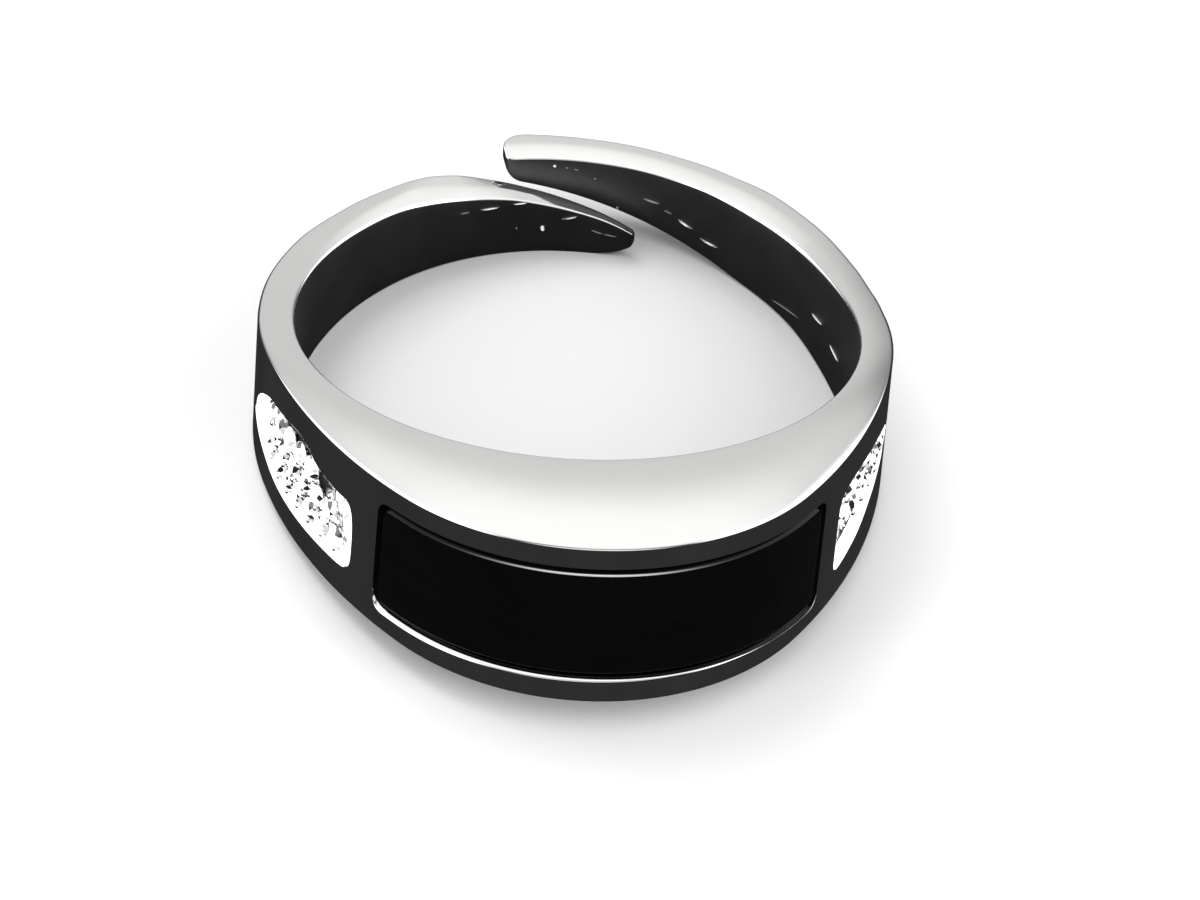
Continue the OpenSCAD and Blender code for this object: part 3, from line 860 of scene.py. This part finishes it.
def stone_shape():
    """A brilliant of radius 1: its vertices, and its facets as lists of vertex numbers."""
    eight = np.arange(8) * 45.0
    sixteen = np.arange(16) * 22.5

    def ring(r, degrees, z):
        return np.concatenate([polar(r, degrees), np.full((len(degrees), 1), z)], 1)

    # The table, the star's points, both rims of the girdle, the waist below them and the culet
    points = np.concatenate([
        ring(0.57, eight, 0.42), ring(0.79, eight + 22.5, 0.25), ring(1.0, sixteen, 0.05),
        ring(1.0, sixteen, 0.0), ring(0.3, eight + 22.5, -0.56), [[0, 0, -0.78]]])
    table, star, girdle, lower, waist, culet = 0, 8, 16, 32, 48, 56
    facets = [[table + k for k in range(8)]]
    for k in range(8):
        ahead = (k + 1) % 8
        behind = (k - 1) % 8
        near, mid, far = 2 * k, 2 * k + 1, (2 * k + 2) % 16
        facets.append([table + k, star + k, table + ahead])
        facets.append([table + k, star + behind, girdle + near, star + k])
        facets.append([star + k, girdle + near, girdle + mid])
        facets.append([star + k, girdle + mid, girdle + far])
        facets.append([girdle + near, lower + near, lower + mid, girdle + mid])
        facets.append([girdle + mid, lower + mid, lower + far, girdle + far])
        facets.append([waist + k, lower + mid, lower + near])
        facets.append([waist + k, lower + far, lower + mid])
        facets.append([culet, waist + k, lower + near, waist + behind])
    return points, facets


def on_wall(side, places, depth):
    """Place and axes (along, up, outwards) on the wall at a panel's own places."""
    s = s_at(side * PANEL_MID_U) + side * places[:, 0]
    point = wall_point(s, places[:, 1], np.full(len(s), depth))
    out = point - wall_point(s, places[:, 1], np.full(len(s), depth + 1.0))
    up = np.broadcast_to([0.0, 0.0, 1.0], out.shape)
    along = np.cross(up, out)
    return point, np.stack([along, up, out], 1)


def turns(axis, angles):
    """Turns by angles about the axis of that number, as (n, 3, 3)."""
    after, last = (axis + 1) % 3, (axis + 2) % 3
    out = np.zeros((len(angles), 3, 3))
    out[:, axis, axis] = 1
    out[:, after, after] = out[:, last, last] = np.cos(angles)
    out[:, last, after] = np.sin(angles)
    out[:, after, last] = -np.sin(angles)
    return out


def stones(name, side, outline, shift):
    """The panel's stones: the brilliant at each place, turned a little at random."""
    places = stone_places(outline, shift)
    shape, facets = stone_shape()
    point, axes = on_wall(side, places, STONE_SINK)
    spin = rng.uniform(0, 2 * math.pi, len(places))
    lean = rng.uniform(-STONE_TURN, STONE_TURN, (2, len(places)))
    turn = turns(0, lean[0]) @ turns(1, lean[1]) @ turns(2, spin)
    local = np.einsum("nij,kj->nki", turn, shape * STONE_R)
    world = point[:, None] + np.einsum("nki,nij->nkj", local, axes)
    mesh = Mesh()
    for number, facet in enumerate(facets):
        # Each facet is painted white, grey or near black at random as a reflection; the table always
        # white
        shade = rng.choice(FACET_PAINTED_SHADES, len(places), p=FACET_PAINTED_ODDS)
        shade = np.where(number == 0, 1.0, shade)
        mesh.faces.append(mesh.add(world[:, facet], shade[:, None]))
    return mesh.build(name, smooth=False), places


def bead_shape():
    """Rings of a bead of radius 1 without its tip: (cos a cos b, sin a cos b, sin b)."""
    a = np.radians(np.arange(10) * 36.0)
    b = np.radians([-20, 10, 40, 68])
    return np.stack([np.cos(a)[None] * np.cos(b)[:, None], np.sin(a)[None] * np.cos(b)[:, None],
                     np.broadcast_to(np.sin(b)[:, None], (4, 10))], -1)


def grains(name, side, outline, places):
    """Silver beads that hold the stones: one in the middle of each three stones, and at the rim."""
    lift = np.array([0, 2 * ROW_STEP / 3])
    spots = np.unique(np.round(np.concatenate([places + lift, places - lift]), 3), axis=0)
    spots = spots[inside_by(spots, outline) > GRAIN_MARGIN]
    point, axes = on_wall(side, spots, GRAIN_SINK)
    mesh = Mesh()
    size = rng.uniform(*GRAIN_R, len(spots))
    body = np.einsum("abj,n->nabj", bead_shape(), size)
    rings = point[:, None, None] + np.einsum("nabi,nij->nabj", body, axes)
    tips = point + size[:, None] * axes[:, 2]
    for one, end in zip(rings, tips):
        index = mesh.add(one)
        mesh.grid(index, closed=True)
        top = mesh.add(end[None])
        mesh.fan(index[-1], top[0])
    return mesh.build(name)


class Value:
    """A node output that adds, subtracts and multiplies as a number would."""

    def __init__(self, shader, output):
        self.shader = shader
        self.output = output

    def math(self, operation, other=0.0):
        """The output of a math node on this value and another."""
        return self.shader.node("ShaderNodeMath", {"operation": operation}, [self, other])

    def __add__(self, other):
        return self.math("ADD", other)

    def __sub__(self, other):
        return self.math("SUBTRACT", other)

    def __mul__(self, other):
        return self.math("MULTIPLY", other)

    def __rsub__(self, other):
        return self.shader.number(other) - self

    __radd__ = __add__
    __rmul__ = __mul__

    def above(self, low, high):
        """0 under low, 1 over high, and smooth between."""
        return self.shader.node("ShaderNodeMapRange", {"interpolation_type": "SMOOTHSTEP"},
                                [self, low, high, 0.0, 1.0])


class Shader:
    """A node tree of a material or a world, with its links made by calling node()."""

    def __init__(self, owner):
        owner.use_nodes = True
        self.tree = owner.node_tree
        self.tree.nodes.clear()

    def node(self, kind, settings=None, values=(), output=0, named=None):
        """Adds a node: settings first, then values or links by position or by name."""
        made = self.tree.nodes.new(kind)
        for key, value in (settings or {}).items():
            setattr(made, key, value)
        for key, value in [*enumerate(values), *(named or {}).items()]:
            if isinstance(value, Value):
                self.tree.links.new(value.output, made.inputs[key])
            else:
                made.inputs[key].default_value = value
        return Value(self, made.outputs[output])

    def number(self, value):
        """A plain number as a node's output."""
        made = self.tree.nodes.new("ShaderNodeValue")
        made.outputs[0].default_value = value
        return Value(self, made.outputs[0])

    def place(self):
        """Object coordinates in millimetres."""
        here = self.node("ShaderNodeTexCoord", output="Object")
        return self.node("ShaderNodeVectorMath", {"operation": "SCALE"},
                         named={"Vector": here, "Scale": 1000.0})

    def stretched(self, vector, scale):
        """A place with each coordinate scaled by its own factor."""
        return self.node("ShaderNodeVectorMath", {"operation": "MULTIPLY"}, [vector, scale])

    def noise(self, vector, scale, detail=3.0, roughness=0.5):
        """Soft cloudy noise from 0 to 1."""
        return self.node("ShaderNodeTexNoise", named={
            "Vector": vector, "Scale": scale, "Detail": detail, "Roughness": roughness})

    def cracks(self, vector, scale):
        """Distance to the nearest border between random cells."""
        return self.node("ShaderNodeTexVoronoi", {"feature": "DISTANCE_TO_EDGE"}, named={
            "Vector": vector, "Scale": scale})

    def mix(self, factor, a, b):
        """A colour between a and b, by the mix node's colour sockets."""
        return self.node("ShaderNodeMix", {"data_type": "RGBA"}, output=2,
                         named={0: factor, 6: a, 7: b})

    def bump(self, height, strength, distance):
        """A normal that follows a height."""
        return self.node("ShaderNodeBump", named={
            "Height": height, "Strength": strength, "Distance": distance})

    def attribute(self, name):
        """A mesh attribute's value."""
        return self.node("ShaderNodeAttribute", {"attribute_name": name}, output="Fac")

    def surface(self, **inputs):
        """The principled shader with inputs by name, underscores standing for spaces."""
        named = {key.replace("_", " "): value for key, value in inputs.items()}
        shader = self.node("ShaderNodeBsdfPrincipled", named=named)
        self.end("ShaderNodeOutputMaterial", shader)

    def end(self, kind, shader):
        """Links a shader to a new output node of that kind."""
        made = self.tree.nodes.new(kind)
        self.tree.links.new(shader.output, made.inputs["Surface"])


def silver_material():
    """Polished silver with a haze and fine scratches, and painted light by its attribute.

    The attribute makes the inner wall rougher and paints it dark as shade, paints a panel's cut
    walls plain white as a highlight, its cut floors white with dark cracks as highlight and
    shade, and its floor near black as shade below the stones.
    """
    material = bpy.data.materials.new("silver")
    shader = Shader(material)
    place = shader.place()
    haze = shader.noise(place, 0.6, 4.0)
    hair = shader.noise(shader.stretched(place, (3.0, 3.0, 26.0)), 1.6, 4.0, 0.6)
    finish_and_painted_light = shader.attribute("finish_and_painted_light")
    recess = finish_and_painted_light.above(0.1, 0.9)
    # The inner wall's mask: it raises the roughness and paints the metal dark as shade
    satin_and_painted_shade = (finish_and_painted_light * -1.0).above(0.1, 0.9)
    # Painted light on the panels: cut walls plain white as a highlight, the floor under the stones
    # near black as shade, and white with dark cracks as highlight and shade at the tips
    plain = 1.0 - finish_and_painted_light.above(0.43, 0.48)
    cells = (shader.cracks(place, 3.2).above(0.02, 0.07) + plain).math("MINIMUM", 1.0)
    cells = cells * (1.0 - finish_and_painted_light.above(0.6, 0.9))
    cut = shader.mix(cells, *CUT_PAINTED_LIGHT_TINTS)
    colour = shader.mix(haze, *SILVER_TINTS)
    colour = shader.mix(finish_and_painted_light.above(0.1, 0.4), colour, cut)
    # Painted shade: the inner wall's metal is darkened
    colour = shader.mix(satin_and_painted_shade, colour, shader.mix(haze, *SATIN_PAINTED_SHADE_TINTS))
    rough = 0.05 + 0.05 * haze + 0.5 * recess + 0.4 * satin_and_painted_shade
    shader.surface(Base_Color=colour, Metallic=1.0 - finish_and_painted_light.above(0.1, 0.4), Roughness=rough,
                   Normal=shader.bump(hair, 0.03, 0.00001))
    return material


def onyx_material():
    """Polished black onyx with faint smears; the attribute paints a bright highlight on the arris."""
    material = bpy.data.materials.new("onyx")
    shader = Shader(material)
    place = shader.place()
    smear = shader.noise(shader.stretched(place, (1.0, 1.0, 2.5)), 0.5, 5.0, 0.6)
    glint = shader.attribute("finish_and_painted_light")
    colour = shader.mix(smear, *ONYX_TINTS)
    # The arris is painted white and metallic as a highlight
    colour = shader.mix(glint, colour, ARRIS_HIGHLIGHT_COLOUR)
    shader.surface(Base_Color=colour, Roughness=0.02 + 0.03 * smear, IOR=1.54, Metallic=glint,
                   Specular_IOR_Level=0.12)
    return material


def stone_material():
    """Clear stones with painted reflections: each facet painted white, grey or dark, glowing a
    little.
    """
    material = bpy.data.materials.new("clear_stone_painted_light")
    shader = Shader(material)
    shade = shader.attribute("finish_and_painted_light")
    cloud = shader.noise(shader.place(), 6.0, 2.0)
    colour = shader.mix(shade, *STONE_PAINTED_LIGHT_TINTS)
    # The painted facet colour also glows a little, as painted light
    shader.surface(Base_Color=colour, Roughness=0.02 + 0.04 * cloud, Metallic=0.25, IOR=2.15,
                   Emission_Color=colour, Emission_Strength=0.28)
    return material


def floor_material():
    """Pale matt board with a faint mottle."""
    material = bpy.data.materials.new("floor")
    shader = Shader(material)
    mottle = shader.noise(shader.place(), 0.05, 3.0)
    colour = shader.mix(mottle, *FLOOR_TINTS)
    shader.surface(Base_Color=colour, Roughness=0.8)
    return material


def dress(made, material, slot, *nodes):
    """Gives a piece its material and body, and hides the solids it stands for; slot is not used."""
    made.data.materials.append(material)
    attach(made, "root")
    if nodes:
        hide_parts(*nodes)


silver = silver_material()
band, onyx_ring = band_surface()
dress(band, silver, "silver", "band")
tablet = tablet_surface(onyx_ring)
dress(tablet, onyx_material(), "onyx", "onyx")
dress(wall_marks(), silver, "silver")
clear = stone_material()
for label, side, outline, shift in (("left", -1, LEFT_PANEL, LEFT_GRID),
                                    ("right", 1, RIGHT_PANEL, RIGHT_GRID)):
    field, places = stones(f"stones_{label}", side, outline, shift)
    dress(field, clear, "small_stones", f"pave_{label}")
    dress(grains(f"grains_{label}", side, outline, places), silver, "silver")


def floor():
    """A wide plane under the ring, in metres."""
    far = 3.0
    mesh = bpy.data.meshes.new("floor")
    mesh.from_pydata([(-far, -far, 0), (far, -far, 0), (far, far, 0), (-far, far, 0)], [],
                     [(0, 1, 2, 3)])
    made = put("floor", mesh)
    made.data.materials.append(floor_material())
    made.visible_glossy = False


def lamp(name, place, size, power):
    """A square soft light, turned to the ring."""
    data = bpy.data.lights.new(name, "AREA")
    data.shape = "SQUARE"
    data.size = size
    data.energy = power
    made = put(name, data)
    made.location = place
    made.rotation_euler = (-Vector(place)).to_track_quat("-Z", "Y").to_euler()
    made.visible_glossy = False


def studio_world():
    """What the silver mirrors.

    The sky is bright behind the ring in the middle and overhead, and shaded low at the sides. Two
    flanks and a strip in front are bright too, and almost no light comes from below.
    """
    world = bpy.data.worlds.new("studio")
    shader = Shader(world)
    way = shader.node("ShaderNodeTexCoord", output="Generated")
    parts = shader.tree.nodes.new("ShaderNodeSeparateXYZ")
    shader.tree.links.new(way.output, parts.inputs[0])
    x, y, z = (Value(shader, parts.outputs[k]) for k in range(3))
    side = (x - 0.05).math("ABSOLUTE").above(0.08, 0.4) * (1.0 - z.above(0.22, 0.42))
    sky = SKY + SKY_RISE * z + SKY_TOP * z.above(0.4, 0.85)
    sky = sky * z.above(-0.02, 0.1) * y.above(-0.85, -0.6) * (1.0 - SIDE_SHADE * side)
    flanks = FLANKS * x.math("ABSOLUTE").above(0.6, 0.8) * z.above(-0.02, 0.08)
    strip = STRIP * (y * -1.0).above(0.8, 0.92) * z.above(0.0, 0.08)
    mottle = shader.noise(way, 3.0, 3.0)
    light = BELOW + BELOW_MOTTLE * mottle + sky + flanks + strip
    glow = shader.node("ShaderNodeBackground", named={"Color": (1, 1, 1, 1), "Strength": light})
    shader.end("ShaderNodeOutputWorld", glow)
    bpy.context.scene.world = world


def photo_camera():
    """The camera fitted to the photo: 43 degrees up, a little to the left, and rolled."""
    up, turn, roll = (math.radians(value) for value in (43.0, 8.39, 5.88))
    target = np.array([0.952, -0.483, 0.0])
    distance = 240.0
    back = np.array([-math.sin(turn) * math.cos(up), -math.cos(turn) * math.cos(up), math.sin(up)])
    level = np.array([math.cos(turn), -math.sin(turn), 0.0])
    over = np.cross(back, level)
    right = level * math.cos(roll) + over * math.sin(roll)
    above = over * math.cos(roll) - level * math.sin(roll)
    matrix = np.eye(4)
    matrix[:3, :3] = np.stack([right, above, back], 1)
    matrix[:3, 3] = (target + distance * back) * 0.001
    data = bpy.data.cameras.new("photo_camera")
    data.sensor_width = 36.0
    data.lens = 224.06
    made = put("photo_camera", data)
    made.matrix_world = Matrix(matrix.tolist())
    bpy.context.scene.camera = made


floor()
for light in LAMPS:
    lamp(*light)
studio_world()
photo_camera()
bpy.context.scene.view_settings.view_transform = "Standard"
